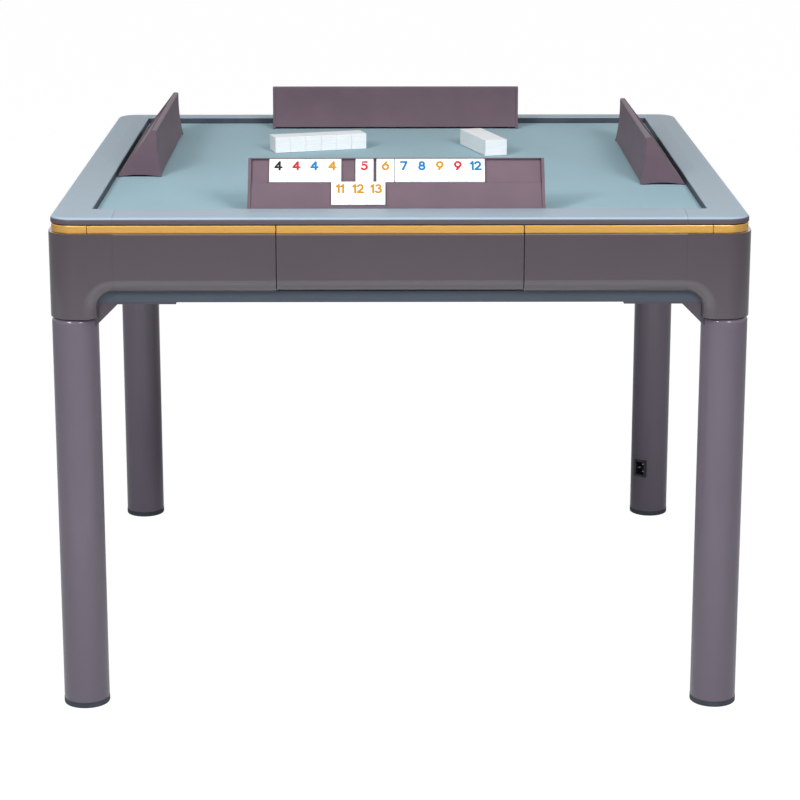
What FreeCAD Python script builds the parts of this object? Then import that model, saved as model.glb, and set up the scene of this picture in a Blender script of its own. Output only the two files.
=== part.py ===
import FreeCAD, Part
import math
import os
from FreeCAD import Vector

# Electric game table: square top with a raised rim, a drawer in each side, four round legs,
# four tile racks and loose numbered tiles.  Millimetres, +Z up, origin on the floor under the
# middle of the top.  The front side faces -Y; the other sides are quarter turns of it.

# ---- Driving sizes: top, rim and apron ----
table_width = 1020.0
rim_top = 753.0
rim_inset = 3.5
rim_width = 58.0
rim_fall = 3.0
rim_crest_round = 1.5
rim_edge_height = 12.5
rim_edge_round = 6.0
rim_inner_round = 1.5
rim_lip_depth = 5.5
rim_corner_length = 92.5
rim_seam = 0.4
felt_recess = 10.0
felt_thickness = 1.5
felt_clearance = 0.3
board_thickness = 12.0
board_clearance = 0.5

apron_height = 88.0
apron_drop = 26.0
apron_thickness = 22.0
apron_wall = 4.0
apron_round = 20.0
apron_edge_round = 1.5
apron_seam = 0.1
corner_width = 96.0
corner_round = 38.0
collar_width = 71.0
collar_drop = 38.0
collar_floor = 5.0
collar_cavity_wall = 14.0
arch_radius = 25.0

trim_height = 11.7
trim_thickness = 4.6
trim_corner_length = 59.0
trim_seam = 0.5
trim_drawer_clearance = 0.4

# ---- Driving sizes: legs ----
leg_diameter = 68.0
leg_wall = 2.5
leg_inset = 35.5
leg_cap_thickness = 4.0
leg_shoulder_round = 8.0
spigot_width = 40.0
spigot_wall = 3.0
spigot_height = 99.0
spigot_clearance = 0.5
foot_height = 9.0
foot_overhang = 0.4
foot_plug_height = 12.0
foot_clearance = 0.2
foot_edge_round = 2.0

# ---- Driving sizes: base pan, chassis and leg brackets ----
pan_recess = 20.0
pan_height = 16.5
pan_sheet = 2.0
pan_corner_clearance = 0.6
casing_pan_clearance = 0.4
rail_width = 20.0
rail_height = 15.5
rail_wall = 1.5
rail_spacing = 380.0
rail_edge_clearance = 2.0
crossbar_width = 30.0
plate_length = 128.0
plate_thickness = 4.0
post_width = 20.0
outer_post_inset = 120.0
bracket_reach = 31.0
bracket_length = 113.0
bracket_plate_width = 30.0
bracket_sheet = 3.0
bracket_gap = 0.3
bolt_diameter = 8.0
bolt_head_width = 13.0
bolt_head_height = 5.3
bolt_hole_clearance = 0.2
nut_height = 6.5
bolt_end = 2.0
bolt_inset = 26.0
bolt_edge_distance = 70.0

# ---- Driving sizes: drawers ----
drawer_front_width = 356.2
drawer_gap = 1.2
drawer_lift = 2.0
grip_length = 120.0
grip_width = 8.0
grip_depth = 9.0
drawer_box_width = 320.0
drawer_box_height = 62.0
drawer_box_wall = 3.0
drawer_box_clearance = 7.0
slide_rib_depth = 3.0
slide_rib_height = 10.0
slide_rib_rise = 43.0
runner_clearance = 0.5
runner_sheet = 2.0
runner_end_gap = 3.5
runner_foot_width = 34.0

# ---- Driving sizes: racks and tiles ----
rack_length = 436.0
rack_depth = 71.0
rack_height = 74.0
rack_inner_slope = 7.0
rack_inner_hollow = 2.4
rack_ridge_width = 8.0
rack_wall = 3.0
rack_head_depth = 27.0
rack_cap_thickness = 4.5
rack_cap_arch = 3.0
rack_rim_clearance = 1.5
rack_ridge_round = 2.5
upper_tier_recess = 5.0
lower_tier_recess = 2.5
tier_shoulder = 0.4
rest_clearance = 0.3
rack_offsets = {"front": -5.0, "right": 22.0, "rear": 3.0, "left": -98.0}

tile_width = 26.3
tile_length = 38.0
tile_thickness = 5.2
tile_pitch = 26.5
tile_round = 0.8
tile_layer_gap = 0.02
tile_ledge_room = 1.0
upper_row_starts = (-191.8, -65.0, -34.2, -7.1)
upper_row_counts = (4, 1, 1, 5)
lower_row_starts = (-100.5,)
lower_row_counts = (3,)
stack_layers = 5
stack_turn = 17.0
left_stack_corner = (-205.0, 110.0)
left_stack_columns = 6
right_stack_corner = (145.4, 77.5)
right_stack_columns = 5

# ---- Driving sizes: electrics and shuffling machine ----
inlet_height = 92.0
inlet_turn = 35.0
inlet_width = 24.0
inlet_length = 31.0
inlet_depth = 24.0
inlet_proud = 2.0
inlet_clearance = 0.2
socket_width = 16.5
socket_length = 24.5
socket_depth = 19.0
pin_width = 2.0
pin_depth = 4.0
pin_reach = 13.0
pin_spacing = 7.0
pin_offset = 4.0
lead_diameter = 5.0
lead_bend_radius = 25.0
lead_drop = 5.5
lead_axis_offset = 16.0
lead_slot_width = 7.0
power_unit_length = 118.0
power_unit_width = 65.0
power_unit_height = 36.0
power_unit_plate_gap = 2.0
power_unit_round = 2.0
power_unit_rail_gap = 1.0
circuit_length = 105.0
circuit_thickness = 1.6
circuit_lift = 9.5
spacer_radius = 3.0
spacer_inset = 8.0
chip_size = 18.0
chip_height = 4.0
drum_radius = 235.0
drum_wall = 4.0
drum_floor = 3.0
drum_height = 45.0
drum_lift = 31.0
hub_radius = 20.0
hub_height = 35.0
hub_drop = 1.7
pivot_radius = 6.0
pivot_collar_radius = 14.0
shaft_clearance = 0.05
drive_wheel_radius = 22.0
drive_wheel_height = 20.0
drive_wheel_lift = 34.0
drive_hub_radius = 11.0
drive_gap = 0.3
drive_drawer_gap = 8.7
motor_height = 26.5
motor_round = 3.0
motor_shaft_radius = 3.0

# ---- Levels and places that follow ----
half = table_width / 2.0
felt_top = rim_top - felt_recess
board_top = felt_top - felt_thickness
board_bottom = board_top - board_thickness
rim_lip_bottom = rim_top - rim_edge_height
rim_inner_half = half - rim_inset - rim_width
apron_top = rim_top - apron_drop
apron_bottom = apron_top - apron_height
corner_bottom = apron_bottom - collar_drop
pan_bottom = apron_bottom - pan_height
pan_floor = pan_bottom + pan_sheet
pan_half = half - pan_recess
pan_notch_half = half - collar_width - pan_corner_clearance
rail_top = pan_floor + rail_height
rail_line = rail_spacing / 2.0
edge_rail_outer = pan_half - pan_sheet - rail_edge_clearance
edge_rail_inner = edge_rail_outer - rail_width
edge_rail_half = half - collar_width - bracket_gap - bolt_inset - bolt_head_width / 2.0 - rail_edge_clearance
plate_top = rail_top + plate_thickness
leg_radius = leg_diameter / 2.0
leg_line = half - leg_inset
spigot_half = spigot_width / 2.0
bolt_hole_radius = bolt_diameter / 2.0 + bolt_hole_clearance
drawer_front_bottom = apron_bottom + drawer_lift
drawer_front_top = apron_top - trim_drawer_clearance
drawer_opening_half = drawer_front_width / 2.0 + drawer_gap
drawer_box_bottom = drawer_front_bottom + drawer_box_clearance
drawer_box_top = drawer_box_bottom + drawer_box_height
drawer_box_front = half - apron_thickness
slide_rib_top = drawer_box_bottom + slide_rib_rise
rack_outer_line = rim_inner_half - rack_rim_clearance
rack_inner_line = rack_outer_line - rack_depth
drum_bottom = pan_floor + drum_lift
drive_wheel_line = drum_radius + drive_wheel_radius + drive_gap
drawer_box_back = drive_wheel_line + drive_wheel_radius + drive_drawer_gap
lead_height = pan_floor + power_unit_height - lead_drop
cut_margin = 1.0
sides = ("front", "right", "rear", "left")
corners = ("front_left", "front_right", "rear_right", "rear_left")


# ---- Small helpers ----
def box(x0, x1, y0, y1, z0, z1):
    return Part.makeBox(x1 - x0, y1 - y0, z1 - z0, Vector(x0, y0, z0))


def cylinder(radius, x, y, z0, z1):
    return Part.makeCylinder(radius, z1 - z0, Vector(x, y, z0))


def quarter_turned(shape, quarters):
    copy = shape.copy()
    copy.rotate(Vector(0, 0, 0), Vector(0, 0, 1), 90.0 * quarters)
    return copy


def swapped(shape):
    """Mirror image in the vertical plane x = y."""
    return shape.mirror(Vector(0, 0, 0), Vector(1, -1, 0))


def mirrored_x(shape):
    return shape.mirror(Vector(0, 0, 0), Vector(1, 0, 0))


def rounded(shape, radius, wanted):
    edges = [edge for edge in shape.Edges if wanted(edge)]
    return shape.makeFillet(radius, edges)


def near(value, target):
    return abs(value - target) < 0.01


def edge_ends(edge, axis):
    return [getattr(vertex, axis) for vertex in edge.Vertexes]


def lies_at(edge, axis, target):
    return all(near(value, target) for value in edge_ends(edge, axis))


def is_upright(edge):
    return near(edge.BoundBox.XLength, 0) and near(edge.BoundBox.YLength, 0)


def rounded_block(half_width, radius, z0, z1):
    block = box(-half_width, half_width, -half_width, half_width, z0, z1)
    return rounded(block, radius, is_upright)


def prism(points, direction):
    wire = Part.makePolygon(points + [points[0]])
    return Part.Face(wire).extrude(direction)


def save(name, solids):
    shape = solids[0] if len(solids) == 1 else Part.makeCompound(solids)
    shape.exportStep(os.path.join("parts", name + ".step"))


# ---- Legs and feet ----
def make_leg():
    """Front left leg: steel tube with a welded cap and a square spigot for the chassis."""
    x = -leg_line
    y = -leg_line
    tube = cylinder(leg_radius, x, y, foot_height, corner_bottom)
    tube = rounded(tube, leg_shoulder_round, lambda edge: lies_at(edge, "Z", corner_bottom))
    bore = cylinder(leg_radius - leg_wall, x, y, foot_height, corner_bottom - leg_cap_thickness)
    spigot_top = corner_bottom + spigot_height
    spigot = box(x - spigot_half, x + spigot_half, y - spigot_half, y + spigot_half,
                 corner_bottom - leg_cap_thickness / 2.0, spigot_top)
    inner = spigot_half - spigot_wall
    hollow = box(x - inner, x + inner, y - inner, y + inner, corner_bottom - leg_cap_thickness, spigot_top)
    return tube.cut(bore).fuse(spigot).cut(hollow).removeSplitter()


def make_foot():
    x = -leg_line
    y = -leg_line
    pad = cylinder(leg_radius + foot_overhang, x, y, 0, foot_height)
    pad = rounded(pad, foot_edge_round, lambda edge: lies_at(edge, "Z", 0))
    plug_radius = leg_radius - leg_wall - foot_clearance
    plug = cylinder(plug_radius, x, y, foot_height, foot_height + foot_plug_height)
    return pad.fuse(plug)


def inlet_frame():
    """Axis point and outward direction of the inlet in the rear right leg."""
    turn = math.radians(inlet_turn)
    outward = Vector(-math.sin(turn), -math.cos(turn), 0)
    return Vector(leg_line, leg_line, inlet_height), outward


def inlet_block(width, length, inner_distance, outer_distance, side_shift=0.0, up_shift=0.0):
    """Block that stands across the leg at the inlet: width sideways, length upwards."""
    centre, outward = inlet_frame()
    block = box(-width / 2.0 + side_shift, width / 2.0 + side_shift, -outer_distance, -inner_distance,
                -length / 2.0 + up_shift, length / 2.0 + up_shift)
    block.rotate(Vector(0, 0, 0), Vector(0, 0, 1), -inlet_turn)
    block.translate(centre)
    return block


def lead_start():
    centre, outward = inlet_frame()
    return centre + outward * lead_axis_offset + Vector(0, 0, inlet_length / 2.0)


def make_legs():
    leg = make_leg()
    foot = make_foot()
    gap = 2.0 * inlet_clearance
    for quarters, corner in enumerate(corners):
        placed = quarter_turned(leg, quarters)
        if corner == "rear_right":
            placed = placed.cut(inlet_block(inlet_width + gap, inlet_length + gap, 0.0, leg_radius))
            start = lead_start()
            slot_reach = lead_slot_width / 2.0
            slot = box(start.x - spigot_width, start.x, start.y - slot_reach, start.y + slot_reach,
                       lead_height - lead_bend_radius, lead_height + slot_reach)
            placed = placed.cut(slot)
        save("leg_" + corner, [placed])
    save("leg_feet", [quarter_turned(foot, quarters) for quarters in range(len(corners))])


# ---- Corner casings and apron panels ----
def arch_opening():
    """The space under the front arch of the front left corner, cut through its whole depth."""
    seam_x = -half + corner_width
    collar_x = -half + collar_width
    arch_z = apron_bottom - arch_radius
    y = -half - cut_margin
    low = corner_bottom - cut_margin
    past = seam_x + cut_margin
    bow = arch_radius * math.sqrt(0.5)
    arc = Part.Arc(Vector(seam_x, y, apron_bottom), Vector(seam_x - bow, y, arch_z + bow),
                   Vector(collar_x, y, arch_z))
    corners_of_outline = [Vector(collar_x, y, arch_z), Vector(collar_x, y, low), Vector(past, y, low),
                          Vector(past, y, apron_bottom), Vector(seam_x, y, apron_bottom)]
    edges = [arc.toShape()]
    for start, end in zip(corners_of_outline, corners_of_outline[1:]):
        edges.append(Part.LineSegment(start, end).toShape())
    return Part.Face(Part.Wire(edges)).extrude(Vector(0, corner_width + 2.0 * cut_margin, 0))


def is_arch_edge(edge, face_axis, along_axis):
    on_face = lies_at(edge, face_axis, -half)
    past_collar = all(value > -half + collar_width - 0.01 for value in edge_ends(edge, along_axis))
    return on_face and past_collar and edge.BoundBox.ZMax < apron_bottom + 0.01


def make_corner_casing():
    low = -half
    high = -half + corner_width
    body = box(low, high, low, high, corner_bottom, apron_top)
    opening = arch_opening()
    body = body.cut(opening).cut(swapped(opening))
    body = rounded(body, corner_round, lambda edge: is_upright(edge) and lies_at(edge, "X", low)
                   and lies_at(edge, "Y", low))
    body = rounded(body, apron_round, lambda edge: is_arch_edge(edge, "Y", "X"))
    body = rounded(body, apron_round, lambda edge: is_arch_edge(edge, "X", "Y"))
    cavity_low = low + collar_cavity_wall
    cavity_high = low + collar_width - collar_cavity_wall
    cavity = box(cavity_low, cavity_high, cavity_low, cavity_high, corner_bottom + collar_floor, apron_top)
    inner_low = low + apron_thickness
    inner = box(inner_low, high, inner_low, high, rail_top, apron_top)
    reach = spigot_half + spigot_clearance
    passage = box(-leg_line - reach, -leg_line + reach, -leg_line - reach, -leg_line + reach,
                  corner_bottom, corner_bottom + collar_floor)
    pan_room = box(low + collar_width, high, low + pan_recess - casing_pan_clearance, high,
                   corner_bottom, apron_bottom + casing_pan_clearance)
    return body.cut(cavity).cut(inner).cut(passage).cut(pan_room).cut(swapped(pan_room))


def make_apron_panel():
    """Front panel to the left of the drawer: a moulded shell with its lower edge rolled under."""
    left = -half + corner_width + apron_seam
    right = -drawer_opening_half
    back = -half + apron_thickness
    panel = box(left, right, -half, back, apron_bottom, apron_top)
    panel = rounded(panel, apron_round, lambda edge: lies_at(edge, "Y", -half) and lies_at(edge, "Z", apron_bottom))
    panel = rounded(panel, apron_edge_round, lambda edge: lies_at(edge, "Y", -half) and lies_at(edge, "Z", apron_top))
    pocket = box(left + apron_wall, right - apron_wall, -half + apron_wall, back,
                 apron_bottom + apron_round + apron_wall, apron_top - apron_wall)
    return panel.cut(pocket)


def make_apron():
    casing = make_corner_casing()
    for quarters, corner in enumerate(corners):
        save("corner_casing_" + corner, [quarter_turned(casing, quarters)])
    panel = make_apron_panel()
    pair = [panel, mirrored_x(panel)]
    for quarters, side in enumerate(sides):
        save("apron_panels_" + side, [quarter_turned(solid, quarters) for solid in pair])


# ---- Rim and gold trim ----
def make_rim_ring():
    """The whole rim: level beside the felt, then falling a little to its rounded outer edge."""
    outer_half = half - rim_inset
    outer_radius = corner_round - rim_inset
    slope_width = outer_radius - rim_crest_round
    ring = rounded_block(outer_half, outer_radius, apron_top, rim_top)
    top_edges = [edge for edge in ring.Edges if lies_at(edge, "Z", rim_top)]
    ring = ring.makeChamfer(rim_fall, slope_width, top_edges)
    ring = rounded(ring, rim_edge_round, lambda edge: lies_at(edge, "Z", rim_top - rim_fall))
    ring = ring.cut(box(-rim_inner_half, rim_inner_half, -rim_inner_half, rim_inner_half, apron_top, rim_top))
    ring = rounded(ring, rim_inner_round, lambda edge: lies_at(edge, "Z", rim_top)
                   and edge.BoundBox.XMax < rim_inner_half + 0.01 and edge.BoundBox.XMin > -rim_inner_half - 0.01
                   and edge.BoundBox.YMax < rim_inner_half + 0.01 and edge.BoundBox.YMin > -rim_inner_half - 0.01)
    body_half = outer_half - rim_lip_depth
    outside = rounded_block(half, corner_round, apron_top, rim_lip_bottom)
    body = rounded_block(body_half, outer_radius - rim_lip_depth, apron_top, rim_lip_bottom)
    return ring.cut(outside.cut(body))


def make_rim():
    ring = make_rim_ring()
    seam = half - rim_inset - rim_corner_length
    past = half + cut_margin
    corner_part = ring.common(box(-past, -seam, -past, -seam, 0, rim_top))
    rail_end = seam - rim_seam
    rail_part = ring.common(box(-rail_end, rail_end, -past, -seam, 0, rim_top))
    for quarters, corner in enumerate(corners):
        save("rim_corner_" + corner, [quarter_turned(corner_part, quarters)])
    for quarters, side in enumerate(sides):
        save("rim_rail_" + side, [quarter_turned(rail_part, quarters)])


def trim_ring(inner_gap, z0):
    """Gold strip all round, seated against the rim body or clear of it by a gap."""
    back_half = half - rim_inset - rim_lip_depth
    back_radius = corner_round - rim_inset - rim_lip_depth
    front_half = back_half + trim_thickness
    front_radius = back_radius + trim_thickness
    top = apron_top + trim_height
    ring = rounded_block(front_half, front_radius, z0, top)
    return ring.cut(rounded_block(back_half + inner_gap, back_radius + inner_gap, z0, top))


def make_gold_trim():
    ring = trim_ring(0.0, apron_top)
    past = half + cut_margin
    corner_line = half - trim_corner_length
    corner_part = ring.common(box(-past, -corner_line, -past, -corner_line, 0, rim_top))
    strip_part = ring.common(box(-corner_line + trim_seam, -drawer_opening_half, -past, 0, 0, rim_top))
    solids = []
    for quarters in range(len(sides)):
        solids.append(quarter_turned(corner_part, quarters))
        solids.append(quarter_turned(strip_part, quarters))
        solids.append(quarter_turned(mirrored_x(strip_part), quarters))
    save("gold_trim", solids)
    drawer_ring = trim_ring(trim_drawer_clearance, drawer_front_top)
    drawer_half = drawer_front_width / 2.0
    drawer_part = drawer_ring.common(box(-drawer_half, drawer_half, -past, 0, 0, rim_top))
    for quarters, side in enumerate(sides):
        save("drawer_trim_" + side, [quarter_turned(drawer_part, quarters)])


# ---- Playing surface ----
def make_playing_surface():
    board_half = rim_inner_half - board_clearance
    save("playing_board", [box(-board_half, board_half, -board_half, board_half, board_bottom, board_top)])
    felt_half = rim_inner_half - felt_clearance
    save("playing_felt", [box(-felt_half, felt_half, -felt_half, felt_half, board_top, felt_top)])


# ---- Base pan, chassis and leg brackets ----
def plus_shape(arm_half, notch_half, z0, z1):
    """Square plate with its four corners notched out for the casings."""
    wide = box(-arm_half, arm_half, -notch_half, notch_half, z0, z1)
    return wide.fuse(box(-notch_half, notch_half, -arm_half, arm_half, z0, z1)).removeSplitter()


def bolt_places():
    """Bolt centres at the front left corner: one on each wing of the bracket, one between them."""
    beside = -half + collar_width + bracket_gap + bolt_inset
    outer = -half + bolt_edge_distance
    return ((beside, outer), (outer, beside), (beside, beside))


def make_pan():
    pan = plus_shape(pan_half, pan_notch_half, pan_bottom, apron_bottom)
    inside = plus_shape(pan_half - pan_sheet, pan_notch_half - pan_sheet, pan_floor, apron_bottom)
    pan = pan.cut(inside)
    for x, y in bolt_places():
        hole = cylinder(bolt_hole_radius, x, y, pan_bottom, pan_floor)
        for quarters in range(len(corners)):
            pan = pan.cut(quarter_turned(hole, quarters))
    save("base_pan", [pan])


def tube_along_x(x0, x1, y, width):
    outer = box(x0, x1, y - width / 2.0, y + width / 2.0, pan_floor, rail_top)
    inner = box(x0, x1, y - width / 2.0 + rail_wall, y + width / 2.0 - rail_wall,
                pan_floor + rail_wall, rail_top - rail_wall)
    return outer.cut(inner)


def post(x, y, z0):
    reach = post_width / 2.0
    outer = box(x - reach, x + reach, y - reach, y + reach, z0, board_bottom)
    inner = reach - rail_wall
    return outer.cut(box(x - inner, x + inner, y - inner, y + inner, z0, board_bottom))


def make_chassis():
    edge_line = (edge_rail_outer + edge_rail_inner) / 2.0
    rail_side = rail_line + rail_width / 2.0
    rail_inside = rail_line - rail_width / 2.0
    solids = []
    for quarters in range(len(sides)):
        edge_rail = tube_along_x(-edge_rail_half, edge_rail_half, -edge_line, rail_width)
        solids.append(quarter_turned(edge_rail, quarters))
    for y in (-rail_line, rail_line):
        solids.append(tube_along_x(-edge_rail_inner, edge_rail_inner, y, rail_width))
        outer_piece = quarter_turned(tube_along_x(rail_side, edge_rail_inner, y, rail_width), 1)
        solids.append(outer_piece)
        solids.append(quarter_turned(outer_piece, 2))
        solids.append(quarter_turned(tube_along_x(-rail_inside, rail_inside, y, rail_width), 1))
    solids.append(tube_along_x(-rail_inside, rail_inside, 0.0, crossbar_width))
    for quarters in range(len(corners)):
        solids.append(quarter_turned(post(-rail_line, -rail_line, rail_top), quarters))
        outer_place = -half + outer_post_inset
        solids.append(quarter_turned(post(outer_place, outer_place, plate_top), quarters))
    save("chassis_frame", solids)


def make_corner_plates():
    low = -half + apron_thickness + spigot_clearance
    plate = box(low, low + plate_length, low, low + plate_length, rail_top, plate_top)
    reach = spigot_half + spigot_clearance
    plate = plate.cut(box(-leg_line - reach, -leg_line + reach, -leg_line - reach, -leg_line + reach,
                          rail_top, plate_top))
    save("corner_plates", [quarter_turned(plate, quarters) for quarters in range(len(corners))])


def bracket_corbel():
    """Sloping gusset on the inner side of the leg, seen from the front as a 45 degree triangle."""
    inner = -half + collar_width + bracket_gap
    top = pan_bottom - bracket_sheet
    reach = inner + bracket_reach - bracket_sheet
    collar_level = corner_bottom - bracket_gap
    y0 = -leg_line - bracket_plate_width / 2.0
    along = Vector(0, bracket_plate_width, 0)
    upper = prism([Vector(inner, y0, top), Vector(reach, y0, top),
                   Vector(reach - (top - collar_level), y0, collar_level), Vector(inner, y0, collar_level)], along)
    depth = bracket_reach
    slope_x = reach - (top - collar_level)
    lower = prism([Vector(slope_x, y0, collar_level), Vector(slope_x - depth, y0, collar_level - depth),
                   Vector(slope_x - depth, y0, collar_level)], along)
    leg_room = cylinder(leg_radius + bracket_gap, -leg_line, -leg_line, 0, corner_bottom)
    return upper.fuse(lower.cut(leg_room)).removeSplitter()


def make_leg_brackets():
    inner = -half + collar_width + bracket_gap
    far = inner + bracket_length
    y0 = -leg_line - bracket_plate_width / 2.0
    top = pan_bottom
    low = pan_bottom - bracket_sheet
    plate = box(inner, far, y0, far, low, top).fuse(box(y0, far, inner, far, low, top))
    corbel = bracket_corbel()
    bracket = plate.fuse(corbel).fuse(swapped(corbel)).removeSplitter()
    for x, y in bolt_places():
        bracket = bracket.cut(cylinder(bolt_hole_radius, x, y, low, top))
    save("leg_brackets", [quarter_turned(bracket, quarters) for quarters in range(len(corners))])


def hexagon(width, x, y, z0, z1):
    radius = width / math.sqrt(3.0)
    points = []
    for step in range(6):
        angle = math.radians(60.0 * step)
        points.append(Vector(x + radius * math.cos(angle), y + radius * math.sin(angle), z0))
    return prism(points, Vector(0, 0, z1 - z0))


def make_bolts():
    low = pan_bottom - bracket_sheet
    solids = []
    for x, y in bolt_places():
        head = hexagon(bolt_head_width, x, y, low - bolt_head_height, low)
        nut = hexagon(bolt_head_width, x, y, pan_floor, pan_floor + nut_height)
        shank = cylinder(bolt_diameter / 2.0, x, y, low - bolt_end, pan_floor + nut_height + bolt_end)
        bolt = head.fuse(shank).fuse(nut)
        for quarters in range(len(corners)):
            solids.append(quarter_turned(bolt, quarters))
    save("bracket_bolts", solids)


# ---- Drawers ----
def make_drawer_front():
    reach = drawer_front_width / 2.0
    back = -half + apron_thickness
    front = box(-reach, reach, -half, back, drawer_front_bottom, drawer_front_top)
    front = rounded(front, apron_round - drawer_lift, lambda edge: lies_at(edge, "Y", -half)
                    and lies_at(edge, "Z", drawer_front_bottom))
    front = rounded(front, apron_edge_round, lambda edge: lies_at(edge, "Y", -half)
                    and lies_at(edge, "Z", drawer_front_top))
    grip_back = -pan_half
    grip = box(-grip_length / 2.0, grip_length / 2.0, grip_back - grip_width, grip_back,
               drawer_front_bottom, drawer_front_bottom + grip_depth)
    return front.cut(grip)


def make_drawer_box():
    reach = drawer_box_width / 2.0
    front = -drawer_box_front
    back = -drawer_box_back
    tray = box(-reach, reach, front, back, drawer_box_bottom, drawer_box_top)
    tray = tray.cut(box(-reach + drawer_box_wall, reach - drawer_box_wall, front + drawer_box_wall,
                        back - drawer_box_wall, drawer_box_bottom + drawer_box_wall, drawer_box_top))
    rib_low = slide_rib_top - slide_rib_height
    rib = box(reach, reach + slide_rib_depth, front + drawer_box_wall, back, rib_low, slide_rib_top)
    return tray.fuse(rib).fuse(mirrored_x(rib)).removeSplitter()


def make_runner():
    """Right-hand runner of the front drawer: a channel for the drawer's rib, on a foot."""
    rib_face = drawer_box_width / 2.0 + runner_clearance
    web = rib_face + slide_rib_depth
    front = -drawer_box_front + runner_clearance
    back = -drawer_box_back - runner_end_gap
    lip_low = slide_rib_top - slide_rib_height - runner_clearance
    lip_high = slide_rib_top + runner_clearance
    channel_top = lip_high + runner_sheet
    channel_low = lip_low - runner_sheet
    runner = box(web, web + runner_sheet, front, back, rail_top, channel_top)
    runner = runner.fuse(box(rib_face, web, front, back, lip_high, channel_top))
    runner = runner.fuse(box(rib_face, web, front, back, channel_low, lip_low))
    foot = box(web, web + runner_foot_width, front, back, rail_top, rail_top + runner_sheet)
    return runner.fuse(foot).removeSplitter()


def make_drawers():
    front = make_drawer_front()
    tray = make_drawer_box()
    for quarters, side in enumerate(sides):
        save("drawer_front_" + side, [quarter_turned(front, quarters)])
        save("drawer_box_" + side, [quarter_turned(tray, quarters)])
    runner = make_runner()
    solids = []
    for quarters in range(len(sides)):
        solids.append(quarter_turned(runner, quarters))
        solids.append(quarter_turned(mirrored_x(runner), quarters))
    save("drawer_runners", solids)


# ---- Tile racks ----
rack_base = felt_top + rest_clearance
face_run = rack_depth - rack_inner_slope - rack_ridge_width
face_length = math.hypot(face_run, rack_height)
face_down = Vector(0, -face_run / face_length, -rack_height / face_length)
face_out = Vector(0, -rack_height / face_length, face_run / face_length)
ridge_edge = Vector(0, -rack_inner_line - rack_inner_slope - rack_ridge_width, rack_base + rack_height)
upper_ledge = tile_length + tile_ledge_room
lower_ledge = 2.0 * upper_ledge


def on_face(distance_down, depth):
    """Point on the front rack's player side, measured down from the ridge and into the rack."""
    return ridge_edge + face_down * distance_down - face_out * depth


def rack_prism(x, player_side, length):
    """Solid between the hollow inner face and the points of the player's side, ridge first."""
    foot = Vector(x, -rack_inner_line, rack_base)
    ridge = Vector(x, -rack_inner_line - rack_inner_slope, rack_base + rack_height)
    middle = (foot + ridge) * 0.5 - Vector(0, rack_inner_hollow, 0)
    edges = [Part.Arc(foot, middle, ridge).toShape()]
    points = [ridge] + [Vector(x, point.y, point.z) for point in player_side] + [foot]
    for start, end in zip(points, points[1:]):
        edges.append(Part.LineSegment(start, end).toShape())
    return Part.Face(Part.Wire(edges)).extrude(Vector(length, 0, 0))


def is_ridge_edge(edge):
    return lies_at(edge, "Z", rack_base + rack_height) and near(edge.BoundBox.YLength, 0)


def make_rack_profile():
    """Two-tier section: inner face, ridge, upper tier, ledge, lower tier, ledge, toe."""
    length = rack_length - 2.0 * rack_cap_thickness
    tiers = [on_face(0, 0), on_face(tier_shoulder, upper_tier_recess),
             on_face(upper_ledge, upper_tier_recess), on_face(upper_ledge, lower_tier_recess),
             on_face(lower_ledge, lower_tier_recess), on_face(lower_ledge, 0), on_face(face_length, 0)]
    profile = rack_prism(-length / 2.0, tiers, length)
    profile = rounded(profile, rack_ridge_round, lambda edge: is_ridge_edge(edge)
                      and lies_at(edge, "Y", -rack_inner_line - rack_inner_slope))
    floor = rack_base + rack_cap_arch
    profile = profile.cut(box(-length, length, -half, half, 0, floor))
    inner_back = -rack_inner_line - rack_inner_hollow - rack_wall
    low = floor + rack_wall
    slope = face_run / rack_height
    wall = upper_tier_recess * face_length / rack_height + rack_wall
    toe_y = -rack_inner_line - rack_depth + (low - rack_base) * slope + wall
    top = rack_base + rack_height - rack_head_depth
    top_y = -rack_inner_line - rack_depth + (top - rack_base) * slope + wall
    hollow = prism([Vector(-length, inner_back, low), Vector(-length, toe_y, low),
                    Vector(-length, top_y, top), Vector(-length, inner_back - rack_inner_slope, top)],
                   Vector(2.0 * length, 0, 0))
    return profile.cut(hollow)


def make_rack_cap():
    """Left end cap of the front rack, plain sided, with a shallow arch along its foot."""
    outer = -rack_length / 2.0
    cap = rack_prism(outer, [ridge_edge, on_face(face_length, 0)], rack_cap_thickness)
    cap = rounded(cap, rack_ridge_round, is_ridge_edge)
    middle_y = -rack_inner_line - rack_depth / 2.0
    span = rack_depth / 2.0 - upper_tier_recess
    arch_rise = rack_cap_arch
    arch_circle = (span * span + arch_rise * arch_rise) / (2.0 * arch_rise)
    arch = Part.makeCylinder(arch_circle, 2.0 * rack_cap_thickness,
                             Vector(outer - rack_cap_thickness / 2.0, middle_y, rack_base + arch_rise - arch_circle),
                             Vector(1, 0, 0))
    return cap.cut(arch)


def make_racks():
    profile = make_rack_profile()
    cap = make_rack_cap()
    for quarters, side in enumerate(sides):
        solids = []
        for solid in (profile, cap, mirrored_x(cap)):
            placed = solid.copy()
            placed.translate(Vector(rack_offsets[side], 0, 0))
            solids.append(quarter_turned(placed, quarters))
        save("rack_" + side, solids)


# ---- Tiles ----
def make_tile():
    """One tile lying flat, with its low corner at the origin."""
    tile = Part.makeBox(tile_width, tile_length, tile_thickness)
    return rounded(tile, tile_round, is_upright)


def tile_row(starts, counts, ledge, recess):
    """Tiles leaning on one tier of the front rack, feet on the ledge."""
    lean = math.degrees(math.atan2(rack_height, face_run))
    solids = []
    for start, count in zip(starts, counts):
        for index in range(count):
            tile = make_tile()
            tile.rotate(Vector(0, 0, 0), Vector(1, 0, 0), lean)
            foot = on_face(ledge - rest_clearance, recess - rest_clearance)
            tile.translate(Vector(start + index * tile_pitch, foot.y, foot.z))
            solids.append(tile)
    return solids


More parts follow.
